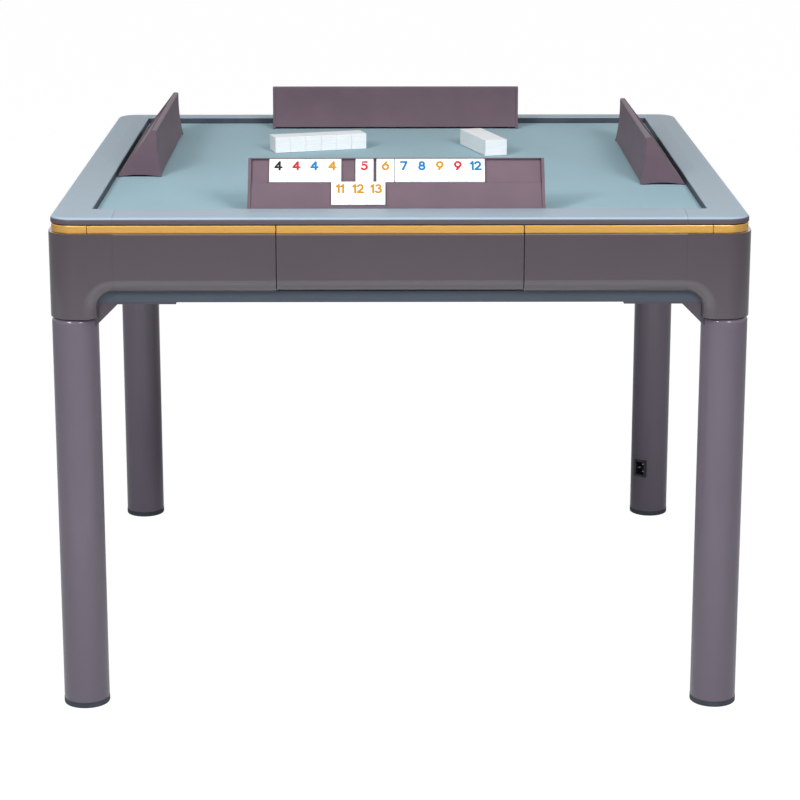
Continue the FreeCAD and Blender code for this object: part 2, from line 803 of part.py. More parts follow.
def tile_stack(corner, turn, columns, layers):
    """Tiles lying flat in columns side by side, turned about one corner."""
    solids = []
    for column in range(columns):
        for layer in range(layers):
            tile = make_tile()
            tile.translate(Vector(column * tile_pitch, 0, layer * (tile_thickness + tile_layer_gap)))
            tile.rotate(Vector(0, 0, 0), Vector(0, 0, 1), turn)
            tile.translate(Vector(corner[0], corner[1], felt_top + rest_clearance))
            solids.append(tile)
    return solids


def make_tiles():
    save("tiles_upper_row", tile_row(upper_row_starts, upper_row_counts, upper_ledge, upper_tier_recess))
    save("tiles_lower_row", tile_row(lower_row_starts, lower_row_counts, lower_ledge, lower_tier_recess))
    save("tile_stack_left", tile_stack(left_stack_corner, stack_turn, left_stack_columns, stack_layers))
    turn = math.radians(stack_turn)
    far_x = right_stack_corner[0] + tile_length * math.cos(turn)
    far_y = right_stack_corner[1] + tile_length * math.sin(turn)
    save("tile_stack_right", tile_stack((far_x, far_y), stack_turn + 90.0, right_stack_columns, stack_layers))


# ---- Mains inlet, lead, power unit and control board ----
def make_inlet():
    outer_distance = leg_radius + inlet_proud
    inner_distance = outer_distance - inlet_depth
    body = inlet_block(inlet_width, inlet_length, inner_distance, outer_distance)
    socket_floor = outer_distance - socket_depth
    body = body.cut(inlet_block(socket_width, socket_length, socket_floor, outer_distance))
    save("mains_inlet", [body])
    pins = []
    for side_shift, up_shift in ((pin_offset, pin_spacing), (pin_offset, -pin_spacing), (-pin_offset, 0.0)):
        pins.append(inlet_block(pin_depth, pin_width, socket_floor, socket_floor + pin_reach, side_shift, up_shift))
    save("inlet_pins", pins)


def make_lead():
    """Inner lead: straight up the leg, one bend, then level to the power unit's face."""
    start = lead_start()
    bend_start = Vector(start.x, start.y, lead_height - lead_bend_radius)
    bend_end = Vector(start.x - lead_bend_radius, start.y, lead_height)
    centre = Vector(bend_end.x, start.y, bend_start.z)
    diagonal = lead_bend_radius * math.sqrt(0.5)
    middle = centre + Vector(diagonal, 0, diagonal)
    end = Vector(power_unit_face(), start.y, lead_height)
    path = Part.Wire([Part.LineSegment(start, bend_start).toShape(),
                      Part.Arc(bend_start, middle, bend_end).toShape(),
                      Part.LineSegment(bend_end, end).toShape()])
    section = Part.Wire([Part.Circle(start, Vector(0, 0, 1), lead_diameter / 2.0).toShape()])
    lead = path.makePipeShell([section], True, False)
    ideal = path.Length * math.pi * lead_diameter ** 2 / 4.0
    print("lead length", round(path.Length, 1), "volume ratio", round(lead.Volume / ideal, 4))
    save("inner_lead", [lead])


def power_unit_face():
    return half - apron_thickness - spigot_clearance - plate_length - power_unit_plate_gap


def make_power_unit():
    face = power_unit_face()
    outer = edge_rail_inner - power_unit_rail_gap
    unit = box(face - power_unit_length, face, outer - power_unit_width, outer, pan_floor,
               pan_floor + power_unit_height)
    unit = rounded(unit, power_unit_round, lambda edge: is_upright(edge) and not lies_at(edge, "X", face))
    save("power_unit", [unit])


def make_control_board():
    """Circuit board on four spacers in the front right bay, with two chips on it."""
    x1 = power_unit_face()
    x0 = x1 - circuit_length
    y0 = -x1
    y1 = -x0
    low = pan_floor + circuit_lift
    high = low + circuit_thickness
    board = box(x0, x1, y0, y1, low, high)
    middle_x = (x0 + x1) / 2.0
    middle_y = (y0 + y1) / 2.0
    for shift in (-chip_size, chip_size):
        chip = box(middle_x + shift - chip_size / 2.0, middle_x + shift + chip_size / 2.0,
                   middle_y - chip_size / 2.0, middle_y + chip_size / 2.0, high, high + chip_height)
        board = board.fuse(chip)
    save("control_board", [board])
    spacers = []
    for x in (x0 + spacer_inset, x1 - spacer_inset):
        for y in (y0 + spacer_inset, y1 - spacer_inset):
            spacers.append(cylinder(spacer_radius, x, y, pan_floor, low))
    save("board_spacers", spacers)


# ---- Shuffling machine ----
def make_drum():
    top = drum_bottom + drum_height
    drum = cylinder(drum_radius, 0, 0, drum_bottom, top)
    drum = drum.cut(cylinder(drum_radius - drum_wall, 0, 0, drum_bottom + drum_floor, top))
    hub_bottom = drum_bottom - hub_drop
    drum = drum.fuse(cylinder(hub_radius, 0, 0, hub_bottom, drum_bottom + hub_height))
    drum = drum.cut(cylinder(pivot_radius + shaft_clearance, 0, 0, hub_bottom, top))
    save("tile_drum", [drum])
    pivot_top = drum_bottom + hub_height - hub_drop
    pivot = cylinder(pivot_radius, 0, 0, rail_top, pivot_top)
    pivot = pivot.fuse(cylinder(pivot_collar_radius, 0, 0, rail_top, hub_bottom - rest_clearance))
    save("drum_pivot", [pivot])


def make_drive():
    x = drive_wheel_line
    reach = drive_wheel_radius
    motor_top = pan_floor + motor_height
    wheel_low = pan_floor + drive_wheel_lift
    wheel_high = wheel_low + drive_wheel_height
    motor = box(x - reach, x + reach, -reach, reach, pan_floor, motor_top)
    motor = rounded(motor, motor_round, is_upright)
    motor = motor.fuse(cylinder(motor_shaft_radius, x, 0, motor_top, wheel_high))
    save("drive_motor", [motor])
    wheel = cylinder(reach, x, 0, wheel_low, wheel_high)
    wheel = wheel.fuse(cylinder(drive_hub_radius, x, 0, motor_top + rest_clearance, wheel_low))
    wheel = wheel.cut(cylinder(motor_shaft_radius + shaft_clearance, x, 0, motor_top, wheel_high))
    save("drive_wheel", [wheel])


os.makedirs("parts", exist_ok=True)
make_legs()
make_apron()
make_rim()
make_gold_trim()
make_playing_surface()
make_pan()
make_chassis()
make_corner_plates()
make_leg_brackets()
make_bolts()
make_drawers()
make_racks()
make_tiles()
make_inlet()
make_lead()
make_power_unit()
make_control_board()
make_drum()
make_drive()
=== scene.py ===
import bpy
import math
from mathutils import Matrix, Vector


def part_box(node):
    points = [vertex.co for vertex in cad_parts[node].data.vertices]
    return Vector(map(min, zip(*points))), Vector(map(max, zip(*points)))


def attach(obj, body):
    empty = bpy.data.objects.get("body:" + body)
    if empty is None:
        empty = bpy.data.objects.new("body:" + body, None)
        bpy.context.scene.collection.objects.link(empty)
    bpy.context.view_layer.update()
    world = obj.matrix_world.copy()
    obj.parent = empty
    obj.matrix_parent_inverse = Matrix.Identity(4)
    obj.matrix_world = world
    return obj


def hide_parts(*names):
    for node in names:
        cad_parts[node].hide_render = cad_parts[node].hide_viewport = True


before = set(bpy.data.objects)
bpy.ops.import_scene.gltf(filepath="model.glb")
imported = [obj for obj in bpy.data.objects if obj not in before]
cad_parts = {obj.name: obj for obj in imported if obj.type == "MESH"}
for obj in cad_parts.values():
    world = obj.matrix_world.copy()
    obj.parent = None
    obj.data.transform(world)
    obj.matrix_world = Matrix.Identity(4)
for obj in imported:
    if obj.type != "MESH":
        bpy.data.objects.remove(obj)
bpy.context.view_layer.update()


# ---- Studio ----
# A long lens four metres in front of the table looks down on it a little.  The table stands on
# a white sweep; a long soft lamp hangs overhead, two small bright ones stand high in front, a
# low one lights the legs, and a fill stands on each side and behind.
camera_place = Vector((-0.0208, -4.0171, 1.4189))
camera_tilt = math.radians(90.0 - 13.69)
camera_heading = math.radians(-0.336)
lens_length = 111.87
film_width = 36.0
frame_shift = -0.07
room_strength = 0.18
sweep_half = 20.0
sweep_glow = 1.08
sweep_glow_share = 0.9
paper_seen = 0.95
paper_bounced = 0.5
white = (1.0, 1.0, 1.0, 1.0)
cool_white = (0.93, 0.97, 1.0, 1.0)
blue_white = (0.78, 0.9, 1.0, 1.0)

bpy.context.scene.view_settings.view_transform = "Standard"
camera_data = bpy.data.cameras.new("camera")
camera_data.lens = lens_length
camera_data.sensor_width = film_width
camera_data.shift_y = frame_shift
camera = bpy.data.objects.new("camera", camera_data)
camera.location = camera_place
camera.rotation_euler = (camera_tilt, 0.0, camera_heading)
bpy.context.scene.collection.objects.link(camera)
bpy.context.scene.camera = camera


def add_lamp(name, colour, place, target, size, watts, mirrored=True):
    """A flat lamp; a fill lamp isn't mirrored in gloss, so that only the backdrop shows there."""
    data = bpy.data.lights.new(name, "AREA")
    data.shape = "RECTANGLE"
    data.size, data.size_y = size
    data.energy = watts
    data.color = colour[:3]
    lamp = bpy.data.objects.new(name, data)
    lamp.location = place
    lamp.rotation_mode = "QUATERNION"
    lamp.rotation_quaternion = (Vector(target) - Vector(place)).to_track_quat("-Z", "Y")
    lamp.visible_glossy = mirrored
    bpy.context.scene.collection.objects.link(lamp)


table_middle = (0.0, 0.0, 0.6)
legs_front = (0.0, -0.5, 0.4)
add_lamp("overhead", cool_white, (0.0, -1.5, 2.7), table_middle, size=(2.8, 0.6), watts=24.0)
add_lamp("front_left", white, (-1.5, -2.5, 2.3), table_middle, size=(0.8, 0.8), watts=42.0)
add_lamp("front_right", white, (1.2, -2.7, 2.2), table_middle, size=(0.8, 0.8), watts=38.0)
add_lamp("left_fill", blue_white, (-3.2, -0.9, 1.0), table_middle, size=(1.6, 2.0), watts=7.0, mirrored=False)
add_lamp("right_fill", white, (3.2, -0.6, 1.0), table_middle, size=(1.6, 2.0), watts=3.0, mirrored=False)
add_lamp("front_low", cool_white, (0.0, -1.5, 0.42), legs_front, size=(2.4, 0.6), watts=5.5, mirrored=False)
add_lamp("rear_fill", white, (0.4, 3.4, 1.6), table_middle, size=(2.4, 1.6), watts=24.0, mirrored=False)

world = bpy.data.worlds.new("studio")
world.use_nodes = True
bpy.context.scene.world = world
backdrop = world.node_tree.nodes["Background"]
backdrop.inputs["Color"].default_value = white
room = world.node_tree.nodes.new("ShaderNodeBackground")
room.inputs["Color"].default_value = cool_white
room.inputs["Strength"].default_value = room_strength


def either_ray(tree, *kinds):
    """1 for rays of any of these kinds, and 0 for the others."""
    ray = tree.nodes.new("ShaderNodeLightPath")
    either = ray.outputs[kinds[0]]
    for kind in kinds[1:]:
        larger = tree.nodes.new("ShaderNodeMath")
        larger.operation = "MAXIMUM"
        tree.links.new(either, larger.inputs[0])
        tree.links.new(ray.outputs[kind], larger.inputs[1])
        either = larger.outputs[0]
    return either


def mix_shaders(tree, factor, first, second, output):
    """Feed the output with the first shader where the factor is 0, and with the second where it is 1."""
    mix = tree.nodes.new("ShaderNodeMixShader")
    tree.links.new(factor, mix.inputs["Fac"])
    tree.links.new(first.outputs[0], mix.inputs[1])
    tree.links.new(second.outputs[0], mix.inputs[2])
    tree.links.new(mix.outputs[0], tree.nodes[output].inputs["Surface"])


looking = either_ray(world.node_tree, "Is Camera Ray", "Is Glossy Ray", "Is Transmission Ray")
mix_shaders(world.node_tree, looking, room, backdrop, "World Output")

bpy.ops.object.select_all(action="DESELECT")
bpy.ops.mesh.primitive_plane_add(size=2.0 * sweep_half)
sweep = bpy.context.object
sweep.name = "sweep"
sweep_paint = bpy.data.materials.new("white_sweep")
sweep_paint.use_nodes = True
sweep_tree = sweep_paint.node_tree
paper = sweep_tree.nodes["Principled BSDF"]
paper.inputs["Roughness"].default_value = 0.9
paper.inputs["Specular IOR Level"].default_value = 0.1
paper_tone = sweep_tree.nodes.new("ShaderNodeMapRange")
paper_tone.inputs["To Min"].default_value = paper_bounced
paper_tone.inputs["To Max"].default_value = paper_seen
seen_ray = either_ray(sweep_tree, "Is Camera Ray", "Is Glossy Ray", "Is Transmission Ray")
sweep_tree.links.new(seen_ray, paper_tone.inputs["Value"])
sweep_tree.links.new(paper_tone.outputs["Result"], paper.inputs["Base Color"])
glow = sweep_tree.nodes.new("ShaderNodeEmission")
glow.inputs["Color"].default_value = white
glow.inputs["Strength"].default_value = sweep_glow
glow_share = sweep_tree.nodes.new("ShaderNodeMath")
glow_share.operation = "MULTIPLY"
glow_share.inputs[1].default_value = sweep_glow_share
sweep_tree.links.new(either_ray(sweep_tree, "Is Camera Ray"), glow_share.inputs[0])
mix_shaders(sweep_tree, glow_share.outputs[0], paper, glow, "Material Output")
sweep.data.materials.append(sweep_paint)


# ---- Feet ----
# Each leg stands on a black rubber cap that is pushed into the tube and shows as a thin dark
# ring.  Moulded rubber is matt, with a faint grain and a paler bloom where it has been handled.
def new_material(name, roughness, metallic=0.0, **settings):
    """A plain finish; any other socket of the shader is given by its name, with _ for a space."""
    material = bpy.data.materials.new(name)
    material.use_nodes = True
    shader = material.node_tree.nodes["Principled BSDF"]
    shader.inputs["Roughness"].default_value = roughness
    shader.inputs["Metallic"].default_value = metallic
    for socket, value in settings.items():
        shader.inputs[socket.replace("_", " ")].default_value = value
    return material


def add_pattern(material, kind, stretch=(1.0, 1.0, 1.0), **settings):
    """Texture on Object coordinates; its scale is in repeats per metre."""
    tree = material.node_tree
    place = tree.nodes.new("ShaderNodeTexCoord")
    mapping = tree.nodes.new("ShaderNodeMapping")
    mapping.inputs["Scale"].default_value = stretch
    texture = tree.nodes.new(kind)
    for socket, value in settings.items():
        texture.inputs[socket.replace("_", " ")].default_value = value
    tree.links.new(place.outputs["Object"], mapping.inputs["Vector"])
    tree.links.new(mapping.outputs["Vector"], texture.inputs["Vector"])
    return texture


def blend_tones(material, factor, low, high, start=0.35, end=0.65):
    """Colour that runs from the low to the high tone as the pattern goes from start to end."""
    ramp = material.node_tree.nodes.new("ShaderNodeValToRGB")
    ramp.color_ramp.elements[0].position = start
    ramp.color_ramp.elements[0].color = (*low, 1.0)
    ramp.color_ramp.elements[1].position = end
    ramp.color_ramp.elements[1].color = (*high, 1.0)
    material.node_tree.links.new(factor, ramp.inputs["Fac"])
    return ramp.outputs["Color"]


def mix_colours(material, factor, first, second, how="MIX"):
    """Two colour sockets mixed by a number or by the output of a node."""
    mix = material.node_tree.nodes.new("ShaderNodeMix")
    mix.data_type = "RGBA"
    mix.blend_type = how
    if isinstance(factor, float):
        mix.inputs["Factor"].default_value = factor
    else:
        material.node_tree.links.new(factor, mix.inputs["Factor"])
    material.node_tree.links.new(first, mix.inputs["A"])
    material.node_tree.links.new(second, mix.inputs["B"])
    return mix.outputs["Result"]


def set_colour(material, colour):
    material.node_tree.links.new(colour, material.node_tree.nodes["Principled BSDF"].inputs["Base Color"])


def set_roughness(material, factor, low, high):
    """Roughness that follows a pattern, from low where it is 0 to high where it is 1."""
    spread = material.node_tree.nodes.new("ShaderNodeMapRange")
    spread.inputs["To Min"].default_value = low
    spread.inputs["To Max"].default_value = high
    material.node_tree.links.new(factor, spread.inputs["Value"])
    shader = material.node_tree.nodes["Principled BSDF"]
    material.node_tree.links.new(spread.outputs["Result"], shader.inputs["Roughness"])


def set_bump(material, height, strength, depth):
    """Fine relief from a pattern; depth is its full height in metres."""
    bump = material.node_tree.nodes.new("ShaderNodeBump")
    bump.inputs["Strength"].default_value = strength
    bump.inputs["Distance"].default_value = depth
    material.node_tree.links.new(height, bump.inputs["Height"])
    shader = material.node_tree.nodes["Principled BSDF"]
    material.node_tree.links.new(bump.outputs["Normal"], shader.inputs["Normal"])


def tones(colour, spread):
    """A darker and a lighter tone of one colour."""
    return [value * (1.0 - spread) for value in colour], [value * (1.0 + spread) for value in colour]


def srgb(red, green, blue):
    """Linear colour from the 0-255 numbers of a paint card."""
    return tuple(((value / 255.0 + 0.055) / 1.055) ** 2.4 for value in (red, green, blue))


def dress(name, material):
    """Give a piece of the frame its finish."""
    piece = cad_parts[name]
    piece.data.materials.clear()
    piece.data.materials.append(material)


rubber = new_material("foot_rubber", roughness=0.7, Specular_IOR_Level=0.35)
rubber_bloom = add_pattern(rubber, "ShaderNodeTexNoise", Scale=60.0, Detail=6.0)
rubber_dark, rubber_pale = tones(srgb(56, 60, 68), spread=0.14)
set_colour(rubber, blend_tones(rubber, rubber_bloom.outputs["Fac"], rubber_dark, rubber_pale))
rubber_grain = add_pattern(rubber, "ShaderNodeTexNoise", Scale=1400.0, Detail=3.0)
set_bump(rubber, rubber_grain.outputs["Fac"], strength=0.25, depth=0.0003)
dress("leg_feet", rubber)


# ---- Legs ----
# Round steel tubes with a rounded shoulder, sprayed a mauve grey with a clear gloss coat.
# The paint has a fine metallic flake and the slight orange peel of sprayed lacquer.
def gloss_paint(name, colour, roughness, coat, haze=0.06):
    """Sprayed paint under a clear coat; coat is the coat's weight and haze its roughness."""
    paint = new_material(name, roughness, Coat_Weight=coat, Coat_Roughness=haze, Coat_IOR=1.65,
                         Specular_IOR_Level=0.15)
    flake = add_pattern(paint, "ShaderNodeTexNoise", Scale=2600.0, Detail=2.0)
    cloud = add_pattern(paint, "ShaderNodeTexNoise", Scale=5.0, Detail=4.0)
    dark, pale = tones(colour, spread=0.10)
    sprayed = blend_tones(paint, flake.outputs["Fac"], dark, pale)
    cloud_low, cloud_high = tones((0.98, 0.98, 0.98), spread=0.03)
    drift = blend_tones(paint, cloud.outputs["Fac"], cloud_low, cloud_high)
    set_colour(paint, mix_colours(paint, 1.0, sprayed, drift, "MULTIPLY"))
    set_roughness(paint, cloud.outputs["Fac"], low=roughness * 0.85, high=roughness * 1.15)
    peel = add_pattern(paint, "ShaderNodeTexNoise", Scale=420.0, Detail=2.0)
    set_bump(paint, peel.outputs["Fac"], strength=0.05, depth=0.0004)
    return paint


corners = ("front_left", "front_right", "rear_right", "rear_left")
leg_paint = gloss_paint("leg_paint", srgb(98, 89, 101), roughness=0.3, coat=0.42)
for corner in corners:
    dress("leg_" + corner, leg_paint)


# ---- Leg brackets and bolts ----
# Folded steel brackets under the pan carry the casings and legs; three zinc-plated hexagon
# bolts hold each one.
# The brackets are sprayed like the legs; their paint is made darker here as painted shade under the pan.
dress("leg_brackets", gloss_paint("bracket_painted_shade", srgb(74, 66, 75), roughness=0.38, coat=0.4))
zinc = new_material("zinc_plate", roughness=0.32, metallic=1.0)
zinc_spangle = add_pattern(zinc, "ShaderNodeTexVoronoi", Scale=900.0)
zinc_dark, zinc_pale = tones(srgb(176, 180, 186), spread=0.12)
set_colour(zinc, blend_tones(zinc, zinc_spangle.outputs["Distance"], zinc_dark, zinc_pale,
                             start=0.0, end=1.0))
set_roughness(zinc, zinc_spangle.outputs["Distance"], low=0.26, high=0.42)
zinc_scratch = add_pattern(zinc, "ShaderNodeTexNoise", Scale=700.0, Detail=4.0)
set_bump(zinc, zinc_scratch.outputs["Fac"], strength=0.1, depth=0.0002)
dress("bracket_bolts", zinc)


# ---- Base pan ----
# A sheet-steel tray that closes the machine from below, set back under the apron.  It is sprayed
# like the legs; its darker blue grey is painted shade from the apron above and a painted cool reflection.
dress("base_pan", gloss_paint("pan_painted_shade", srgb(68, 77, 88), roughness=0.42, coat=0.4))


# ---- Chassis ----
# Square steel tubes in a black stove enamel, with posts that carry the board, and a plate at
# each corner around the leg's spigot.
enamel = new_material("black_enamel", roughness=0.5)
enamel_drift = add_pattern(enamel, "ShaderNodeTexNoise", Scale=35.0, Detail=5.0)
enamel_dark, enamel_pale = tones(srgb(52, 53, 56), spread=0.15)
set_colour(enamel, blend_tones(enamel, enamel_drift.outputs["Fac"], enamel_dark, enamel_pale))
set_roughness(enamel, enamel_drift.outputs["Fac"], low=0.42, high=0.58)
enamel_texture = add_pattern(enamel, "ShaderNodeTexNoise", Scale=900.0, Detail=3.0)
set_bump(enamel, enamel_texture.outputs["Fac"], strength=0.2, depth=0.0003)
dress("chassis_frame", enamel)
dress("corner_plates", enamel)


# ---- Electrics ----
# Power unit in a folded steel case, control board on spacers, and the lead that comes up the
# leg from the mains inlet.
steel = new_material("bare_steel", roughness=0.38, metallic=1.0)
steel_brush = add_pattern(steel, "ShaderNodeTexNoise", stretch=(1.0, 30.0, 1.0), Scale=60.0, Detail=6.0)
steel_dark, steel_pale = tones(srgb(165, 167, 170), spread=0.1)
set_colour(steel, blend_tones(steel, steel_brush.outputs["Fac"], steel_dark, steel_pale))
set_roughness(steel, steel_brush.outputs["Fac"], low=0.3, high=0.46)
set_bump(steel, steel_brush.outputs["Fac"], strength=0.08, depth=0.0002)
dress("power_unit", steel)
dress("drum_pivot", steel)
circuit = new_material("circuit_lacquer", roughness=0.35)
circuit_paths = add_pattern(circuit, "ShaderNodeTexBrick", Scale=40.0)
circuit_paths.inputs["Color1"].default_value = (*srgb(24, 92, 60), 1.0)
circuit_paths.inputs["Color2"].default_value = (*srgb(30, 104, 68), 1.0)
circuit_paths.inputs["Mortar"].default_value = (*srgb(74, 140, 96), 1.0)
circuit_paths.inputs["Mortar Size"].default_value = 0.03
set_colour(circuit, circuit_paths.outputs["Color"])
set_bump(circuit, circuit_paths.outputs["Fac"], strength=0.3, depth=0.0001)
dress("control_board", circuit)
nylon = new_material("white_nylon", roughness=0.45)
nylon_drift = add_pattern(nylon, "ShaderNodeTexNoise", Scale=80.0, Detail=4.0)
nylon_dark, nylon_pale = tones(srgb(214, 212, 204), spread=0.05)
set_colour(nylon, blend_tones(nylon, nylon_drift.outputs["Fac"], nylon_dark, nylon_pale))
set_bump(nylon, nylon_drift.outputs["Fac"], strength=0.1, depth=0.0003)
dress("board_spacers", nylon)
dress("inner_lead", rubber)


# ---- Shuffling machine ----
# A moulded drum turns on a fixed pin and is driven at its rim by a rubber-tyred wheel on a
# geared motor.
drum_plastic = new_material("drum_plastic", roughness=0.45)
drum_drift = add_pattern(drum_plastic, "ShaderNodeTexNoise", Scale=18.0, Detail=5.0)
drum_dark, drum_pale = tones(srgb(176, 180, 182), spread=0.06)
set_colour(drum_plastic, blend_tones(drum_plastic, drum_drift.outputs["Fac"], drum_dark, drum_pale))
drum_grain = add_pattern(drum_plastic, "ShaderNodeTexNoise", Scale=1100.0, Detail=3.0)
set_bump(drum_plastic, drum_grain.outputs["Fac"], strength=0.15, depth=0.0003)
dress("tile_drum", drum_plastic)
dress("drive_wheel", rubber)
dress("drive_motor", enamel)


# ---- Drawers ----
# Each drawer is a moulded tray with ribs that slide in channel runners of bright steel sheet.
sides = ("front", "right", "rear", "left")
tray_plastic = new_material("tray_plastic", roughness=0.5)
tray_drift = add_pattern(tray_plastic, "ShaderNodeTexNoise", Scale=25.0, Detail=5.0)
tray_dark, tray_pale = tones(srgb(58, 56, 62), spread=0.08)
set_colour(tray_plastic, blend_tones(tray_plastic, tray_drift.outputs["Fac"], tray_dark, tray_pale))
tray_grain = add_pattern(tray_plastic, "ShaderNodeTexVoronoi", Scale=1500.0)
set_bump(tray_plastic, tray_grain.outputs["Distance"], strength=0.3, depth=0.0003)
apron_paint = gloss_paint("apron_paint", srgb(74, 66, 72), roughness=0.32, coat=1.0)
for side in sides:
    dress("drawer_box_" + side, tray_plastic)
    dress("drawer_front_" + side, apron_paint)
dress("drawer_runners", steel)


# ---- Apron ----
# Four moulded corner casings and eight panels between them and the drawers, sprayed like the
# legs; their lower edge rolls under.
for corner in corners:
    dress("corner_casing_" + corner, apron_paint)
for side in sides:
    dress("apron_panels_" + side, apron_paint)


# ---- Rim ----
# Four corner pieces and four rails frame the felt.  Their top is painted a pale blue grey, a painted
# reflection of a cool backdrop on the mauve paint, and paler towards the outer edge as a painted
# highlight; the lip below the rounded edge keeps the mauve of the apron.
# The blue grey given here is painted reflection: it stands in for a cool backdrop mirrored on the top, over a
# paint that is the mauve of the lip.
rim_paint = gloss_paint("rim_paint", srgb(157, 172, 183), roughness=0.5, coat=0.05, haze=0.25)
rim_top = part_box("rim_rail_front")[1].z
rim_lip_level = rim_top - 0.0062
rim_edge_level = rim_top - 0.0046
rim_crest_level = rim_top - 0.0020
rim_painted_highlight_share = 0.8


def share_by_height(material, low, high):
    """A share that grows from 0 at the low level to 1 at the high one."""
    tree = material.node_tree
    place = tree.nodes.new("ShaderNodeTexCoord")
    height = tree.nodes.new("ShaderNodeSeparateXYZ")
    share = tree.nodes.new("ShaderNodeMapRange")
    share.inputs["From Min"].default_value = low
    share.inputs["From Max"].default_value = high
    tree.links.new(place.outputs["Object"], height.inputs[0])
    tree.links.new(height.outputs["Z"], share.inputs["Value"])
    return share.outputs["Result"]


def plain_colour(material, colour):
    """One even colour as a socket."""
    tone = material.node_tree.nodes.new("ShaderNodeRGB")
    tone.outputs[0].default_value = (*colour, 1.0)
    return tone.outputs[0]


# Below: the mauve is the lip's own paint; the pale blue is a painted highlight along the outer edge of the
# top, faded in by height.
rim_mauve = plain_colour(rim_paint, srgb(84, 77, 82))
rim_painted_highlight_blue = plain_colour(rim_paint, srgb(168, 187, 206))
rim_painted_reflection_grey = rim_paint.node_tree.nodes["Principled BSDF"].inputs["Base Color"].links[0].from_socket
rim_painted_highlight = mix_colours(rim_paint, rim_painted_highlight_share, rim_painted_reflection_grey, rim_painted_highlight_blue)
painted_top_share = share_by_height(rim_paint, rim_lip_level, rim_edge_level)
painted_highlight_fade = share_by_height(rim_paint, rim_edge_level, rim_crest_level)
rim_top_painted_light = mix_colours(rim_paint, painted_highlight_fade, rim_painted_highlight, rim_painted_reflection_grey)
set_colour(rim_paint, mix_colours(rim_paint, painted_top_share, rim_mauve, rim_top_painted_light))
for corner in corners:
    dress("rim_corner_" + corner, rim_paint)
for side in sides:
    dress("rim_rail_" + side, rim_paint)


# ---- Felt edge strip ----
# A thin dark strip lines the inner wall of the rim: a dark sheet put there as painted shade on that
# wall.  It covers the edge of the felt and stops a little below the top of the rim.
strip_thickness = 0.0006
strip_sunk = 0.0004
strip_head_gap = 0.0014
strip_round = 0.0002
strip_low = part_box("playing_felt")[1].z - strip_sunk
strip_high = rim_top - strip_head_gap
strip_half = -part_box("rim_rail_front")[1].y
facing_limit = 0.5


def pick(piece):
    """Make a piece the one that Blender's tools work on."""
    bpy.ops.object.select_all(action="DESELECT")
    piece.select_set(True)
    bpy.context.view_layer.objects.active = piece


def apply_modifiers(piece):
    """Bake a piece's modifiers into its mesh, in their order."""
    pick(piece)
    for modifier in list(piece.modifiers):
        bpy.ops.object.modifier_apply(modifier=modifier.name)


def select_faces(piece, wanted):
    """Leave only the wanted faces selected, from object mode."""
    pick(piece)
    bpy.ops.object.mode_set(mode="EDIT")
    bpy.ops.mesh.select_mode(type="FACE")
    bpy.ops.mesh.select_all(action="DESELECT")
    bpy.ops.object.mode_set(mode="OBJECT")
    for face in piece.data.polygons:
        face.select = wanted(face)


def add_block(name, low, high):
    """A cube with its place and size in its mesh."""
    bpy.ops.object.select_all(action="DESELECT")
    bpy.ops.mesh.primitive_cube_add(size=1.0)
    block = bpy.context.object
    block.name = name
    size = Vector(high) - Vector(low)
    middle = (Vector(high) + Vector(low)) / 2.0
    block.data.transform(Matrix.Translation(middle) @ Matrix.Diagonal((*size, 1.0)))
    return block


strip = add_block("felt_edge_strip", (-strip_half, -strip_half, strip_low),
                  (strip_half, strip_half, strip_high))
select_faces(strip, lambda face: abs(face.normal.z) > facing_limit)
bpy.ops.object.mode_set(mode="EDIT")
bpy.ops.mesh.delete(type="ONLY_FACE")
bpy.ops.object.mode_set(mode="OBJECT")
strip_wall = strip.modifiers.new("wall", "SOLIDIFY")
strip_wall.thickness = strip_thickness
strip_wall.offset = -1.0
strip_edge = strip.modifiers.new("edge", "BEVEL")
strip_edge.width = strip_round
strip_edge.segments = 2
apply_modifiers(strip)
# The strip's dark grey is painted shade on the rim's inner wall.
shade_strip_finish = new_material("edge_strip_painted_shade", roughness=0.6, Specular_IOR_Level=0.3)
strip_bloom = add_pattern(shade_strip_finish, "ShaderNodeTexNoise", Scale=30.0, Detail=6.0)
strip_dark, strip_pale = tones(srgb(63, 70, 82), spread=0.12)
set_colour(shade_strip_finish, blend_tones(shade_strip_finish, strip_bloom.outputs["Fac"], strip_dark, strip_pale))
strip_grain = add_pattern(shade_strip_finish, "ShaderNodeTexNoise", Scale=1500.0, Detail=3.0)
set_bump(shade_strip_finish, strip_grain.outputs["Fac"], strength=0.25, depth=0.0002)
strip.data.materials.append(shade_strip_finish)
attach(strip, "table")


# ---- Playing board and felt ----
# A fibreboard panel carries a stretched grey-green felt with a short, slightly brushed nap.
board = new_material("fibreboard", roughness=0.8)
board_fibre = add_pattern(board, "ShaderNodeTexNoise", Scale=260.0, Detail=8.0)
board_dark, board_pale = tones(srgb(150, 122, 92), spread=0.14)
set_colour(board, blend_tones(board, board_fibre.outputs["Fac"], board_dark, board_pale))
set_bump(board, board_fibre.outputs["Fac"], strength=0.3, depth=0.0004)
dress("playing_board", board)
felt = new_material("felt", roughness=0.95, Sheen_Weight=0.25, Sheen_Roughness=0.5, Specular_IOR_Level=0.1)
felt_fibre = add_pattern(felt, "ShaderNodeTexNoise", Scale=1500.0, Detail=4.0)
felt_cloud = add_pattern(felt, "ShaderNodeTexNoise", stretch=(1.0, 0.5, 1.0), Scale=9.0, Detail=5.0)
felt_dark, felt_pale = tones(srgb(147, 184, 196), spread=0.09)
felt_low, felt_high = tones((0.97, 0.97, 0.97), spread=0.03)
felt_fibres = blend_tones(felt, felt_fibre.outputs["Fac"], felt_dark, felt_pale, start=0.3, end=0.7)
felt_clouds = blend_tones(felt, felt_cloud.outputs["Fac"], felt_low, felt_high)
set_colour(felt, mix_colours(felt, 1.0, felt_fibres, felt_clouds, "MULTIPLY"))
